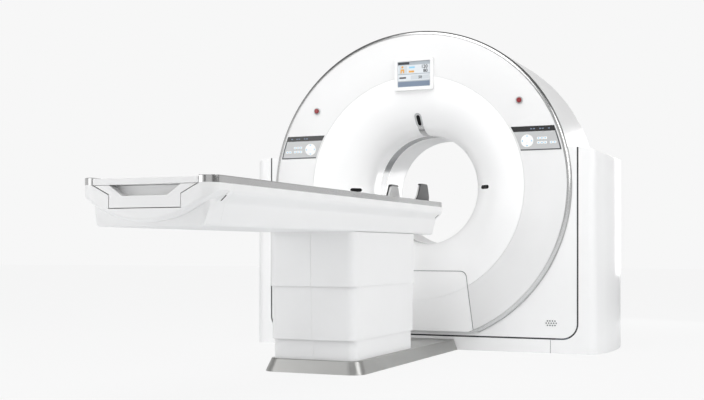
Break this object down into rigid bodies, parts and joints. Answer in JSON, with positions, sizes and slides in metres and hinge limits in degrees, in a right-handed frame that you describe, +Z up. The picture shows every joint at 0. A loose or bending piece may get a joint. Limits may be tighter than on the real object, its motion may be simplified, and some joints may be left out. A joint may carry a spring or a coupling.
{
  "type": "ct scanner",
  "caption": "Ring-shaped X-ray scanner with a funnel bore, control panels and side pods, and a lifting patient table with a sliding couch top.",
  "frame": {"origin": "on the floor, straight below the middle of the scan plane", "axes": "+X to the right seen from the table, +Y from the table into the bore, +Z up"},
  "size_m": [2.3418, 3.76, 1.978],
  "materials": {
    "gantry_white": "satin white moulded cover",
    "trim_metal": "brushed, gently rounded",
    "scan_window": "dark film band",
    "display_frame": "light frame",
    "display_glass": "lit screen glass",
    "dark_lens": "black window",
    "laser_trim": "satin",
    "bearing_steel": "ground",
    "frame_steel": "painted grey",
    "panel_grey": "silver-grey fascia",
    "base_metal": "silver skirt",
    "table_white": "satin white moulded cover",
    "rotor_casting": "cast and machined",
    "unit_grey": "painted grey housings",
    "beam_aluminium": "extruded",
    "rail_metal": "polished edge rail",
    "couch_top": "smooth composite shell",
    "holder_black": "black composite shell",
    "foam_grey": "grey foam lining",
    "key_white": "white keys",
    "stop_red": "red mushroom head"
  },
  "bodies": {
    "root": {"gantry_frame": "frame_steel", "front_ring_cover": "gantry_white", "funnel_cover": "gantry_white", "service_panel": "gantry_white", "rim_trim": "trim_metal", "drum_cover": "gantry_white", "front_plate": "gantry_white", "plinth_covers": "gantry_white", "side_pod_right": "gantry_white", "side_pod_left": "gantry_white", "rear_cover": "gantry_white", "scan_window": "scan_window", "display_housing": "display_frame", "display_screen": "display_glass", "positioning_windows": "dark_lens", "laser_trim": "laser_trim", "main_bearing": "bearing_steel", "control_panel_right": "panel_grey", "control_panel_left": "panel_grey", "base_frame": "frame_steel", "base_skirt": "base_metal", "column_cover_lower": "table_white"},
    "rotor": {"rotor_drum": "rotor_casting", "xray_tube": "unit_grey", "detector_array": "unit_grey", "rotor_power_units": "unit_grey"},
    "bed": {"bed_frame": "beam_aluminium", "bed_shell": "table_white", "foot_cover": "table_white", "side_rails": "rail_metal", "column_cover_upper": "table_white", "lift_column_inner": "bearing_steel"},
    "middle_cover": {"column_cover_middle": "table_white"},
    "middle_stage": {"lift_column_middle": "bearing_steel"},
    "couch": {"cradle": "couch_top", "cradle_end_cap": "table_white", "head_holder": "holder_black", "head_pad": "foam_grey"},
    "key_1_right": {"key_1_right": "key_white"},
    "key_2_right": {"key_2_right": "key_white"},
    "key_3_right": {"key_3_right": "key_white"},
    "key_4_right": {"key_4_right": "key_white"},
    "key_5_right": {"key_5_right": "key_white"},
    "key_6_right": {"key_6_right": "key_white"},
    "key_7_right": {"key_7_right": "key_white"},
    "key_8_right": {"key_8_right": "key_white"},
    "direction_pad_right": {"direction_pad_right": "key_white"},
    "pad_centre_key_right": {"pad_centre_key_right": "key_white"},
    "stop_button_right": {"stop_button_right": "stop_red"},
    "key_1_left": {"key_1_left": "key_white"},
    "key_2_left": {"key_2_left": "key_white"},
    "key_3_left": {"key_3_left": "key_white"},
    "key_4_left": {"key_4_left": "key_white"},
    "key_5_left": {"key_5_left": "key_white"},
    "key_6_left": {"key_6_left": "key_white"},
    "key_7_left": {"key_7_left": "key_white"},
    "key_8_left": {"key_8_left": "key_white"},
    "direction_pad_left": {"direction_pad_left": "key_white"},
    "pad_centre_key_left": {"pad_centre_key_left": "key_white"},
    "stop_button_left": {"stop_button_left": "stop_red"}
  },
  "joints": [
    {"name": "rotor_spin", "type": "hinge", "parent": "root", "child": "rotor", "pos_m": [0, 0, 1], "axis": [0, 1, 0], "continuous": true},
    {"name": "bed_lift", "type": "slide", "parent": "root", "child": "bed", "axis": [0, 0, 1], "range_m": [-0.31, 0.06]},
    {"name": "middle_cover_follow", "type": "slide", "parent": "root", "child": "middle_cover", "axis": [0, 0, 1], "range_m": [-0.093, 0.018]},
    {"name": "middle_stage_follow", "type": "slide", "parent": "root", "child": "middle_stage", "axis": [0, 0, 1], "range_m": [-0.155, 0.03]},
    {"name": "couch_slide", "type": "slide", "parent": "bed", "child": "couch", "axis": [0, 1, 0], "range_m": [0, 1.7]},
    {"name": "key_1_right_press", "type": "slide", "parent": "root", "child": "key_1_right", "axis": [0, 1, 0], "range_m": [0, 0.0012], "stiffness_N_per_m": 1500},
    {"name": "key_2_right_press", "type": "slide", "parent": "root", "child": "key_2_right", "axis": [0, 1, 0], "range_m": [0, 0.0012], "stiffness_N_per_m": 1500},
    {"name": "key_3_right_press", "type": "slide", "parent": "root", "child": "key_3_right", "axis": [0, 1, 0], "range_m": [0, 0.0012], "stiffness_N_per_m": 1500},
    {"name": "key_4_right_press", "type": "slide", "parent": "root", "child": "key_4_right", "axis": [0, 1, 0], "range_m": [0, 0.0012], "stiffness_N_per_m": 1500},
    {"name": "key_5_right_press", "type": "slide", "parent": "root", "child": "key_5_right", "axis": [0, 1, 0], "range_m": [0, 0.0012], "stiffness_N_per_m": 1500},
    {"name": "key_6_right_press", "type": "slide", "parent": "root", "child": "key_6_right", "axis": [0, 1, 0], "range_m": [0, 0.0012], "stiffness_N_per_m": 1500},
    {"name": "key_7_right_press", "type": "slide", "parent": "root", "child": "key_7_right", "axis": [0, 1, 0], "range_m": [0, 0.0012], "stiffness_N_per_m": 1500},
    {"name": "key_8_right_press", "type": "slide", "parent": "root", "child": "key_8_right", "axis": [0, 1, 0], "range_m": [0, 0.0012], "stiffness_N_per_m": 1500},
    {"name": "direction_pad_right_press", "type": "slide", "parent": "root", "child": "direction_pad_right", "axis": [0, 1, 0], "range_m": [0, 0.0012], "stiffness_N_per_m": 1500},
    {"name": "pad_centre_key_right_press", "type": "slide", "parent": "root", "child": "pad_centre_key_right", "axis": [0, 1, 0], "range_m": [0, 0.0012], "stiffness_N_per_m": 1500},
    {"name": "stop_button_right_press", "type": "slide", "parent": "root", "child": "stop_button_right", "axis": [0, 1, 0], "range_m": [0, 0.004], "stiffness_N_per_m": 2500},
    {"name": "key_1_left_press", "type": "slide", "parent": "root", "child": "key_1_left", "axis": [0, 1, 0], "range_m": [0, 0.0012], "stiffness_N_per_m": 1500},
    {"name": "key_2_left_press", "type": "slide", "parent": "root", "child": "key_2_left", "axis": [0, 1, 0], "range_m": [0, 0.0012], "stiffness_N_per_m": 1500},
    {"name": "key_3_left_press", "type": "slide", "parent": "root", "child": "key_3_left", "axis": [0, 1, 0], "range_m": [0, 0.0012], "stiffness_N_per_m": 1500},
    {"name": "key_4_left_press", "type": "slide", "parent": "root", "child": "key_4_left", "axis": [0, 1, 0], "range_m": [0, 0.0012], "stiffness_N_per_m": 1500},
    {"name": "key_5_left_press", "type": "slide", "parent": "root", "child": "key_5_left", "axis": [0, 1, 0], "range_m": [0, 0.0012], "stiffness_N_per_m": 1500},
    {"name": "key_6_left_press", "type": "slide", "parent": "root", "child": "key_6_left", "axis": [0, 1, 0], "range_m": [0, 0.0012], "stiffness_N_per_m": 1500},
    {"name": "key_7_left_press", "type": "slide", "parent": "root", "child": "key_7_left", "axis": [0, 1, 0], "range_m": [0, 0.0012], "stiffness_N_per_m": 1500},
    {"name": "key_8_left_press", "type": "slide", "parent": "root", "child": "key_8_left", "axis": [0, 1, 0], "range_m": [0, 0.0012], "stiffness_N_per_m": 1500},
    {"name": "direction_pad_left_press", "type": "slide", "parent": "root", "child": "direction_pad_left", "axis": [0, 1, 0], "range_m": [0, 0.0012], "stiffness_N_per_m": 1500},
    {"name": "pad_centre_key_left_press", "type": "slide", "parent": "root", "child": "pad_centre_key_left", "axis": [0, 1, 0], "range_m": [0, 0.0012], "stiffness_N_per_m": 1500},
    {"name": "stop_button_left_press", "type": "slide", "parent": "root", "child": "stop_button_left", "axis": [0, 1, 0], "range_m": [0, 0.004], "stiffness_N_per_m": 2500}
  ],
  "couplings": [
    {"joint": "middle_cover_follow", "follows": "bed_lift", "ratio": 0.3},
    {"joint": "middle_stage_follow", "follows": "bed_lift", "ratio": 0.5}
  ]
}
